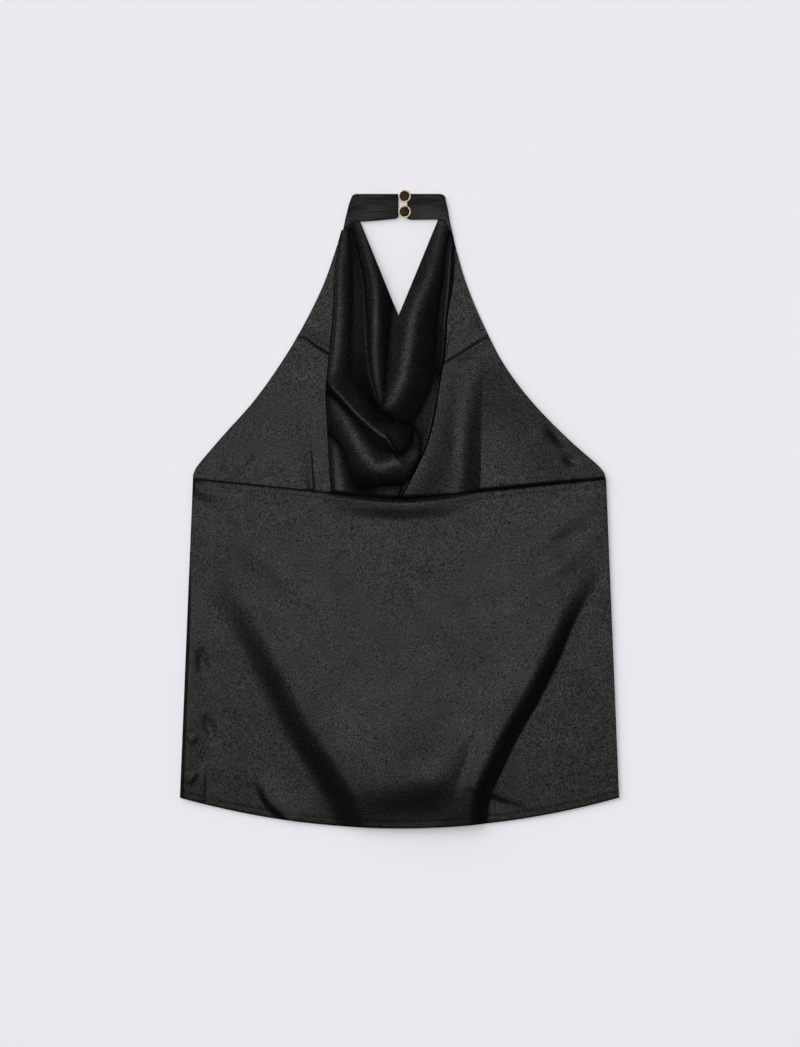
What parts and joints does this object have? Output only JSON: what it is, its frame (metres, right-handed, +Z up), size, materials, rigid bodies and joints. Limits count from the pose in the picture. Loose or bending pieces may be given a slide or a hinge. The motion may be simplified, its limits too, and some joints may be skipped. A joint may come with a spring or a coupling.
{
  "type": "halter neck top",
  "caption": "Sleeveless halter neck top in black satin with a draped cowl front and a buttoned neckband, laid flat with its front up.",
  "frame": {"origin": "centre of the bounding box's bottom face, on the surface that the top is laid on", "axes": "+Z up off the surface, out of the garment's front; +Y from the hem towards the neckband; +X to the right as seen from above"},
  "size_m": [0.439, 0.638, 0.0128],
  "materials": {
    "black_satin": "satin",
    "gold_metal": "polished",
    "dark_enamel": "glossy"
  },
  "bodies": {
    "root": {"back_panel": "black_satin", "front_panel": "black_satin", "cowl": "black_satin", "side_left": "black_satin", "side_right": "black_satin", "neckband_left": "black_satin", "neckband_right": "black_satin", "loop_upper": "black_satin", "loop_lower": "black_satin", "button_upper": "gold_metal", "button_lower": "gold_metal", "dome_upper": "dark_enamel", "dome_lower": "dark_enamel"}
  },
  "joints": []
}
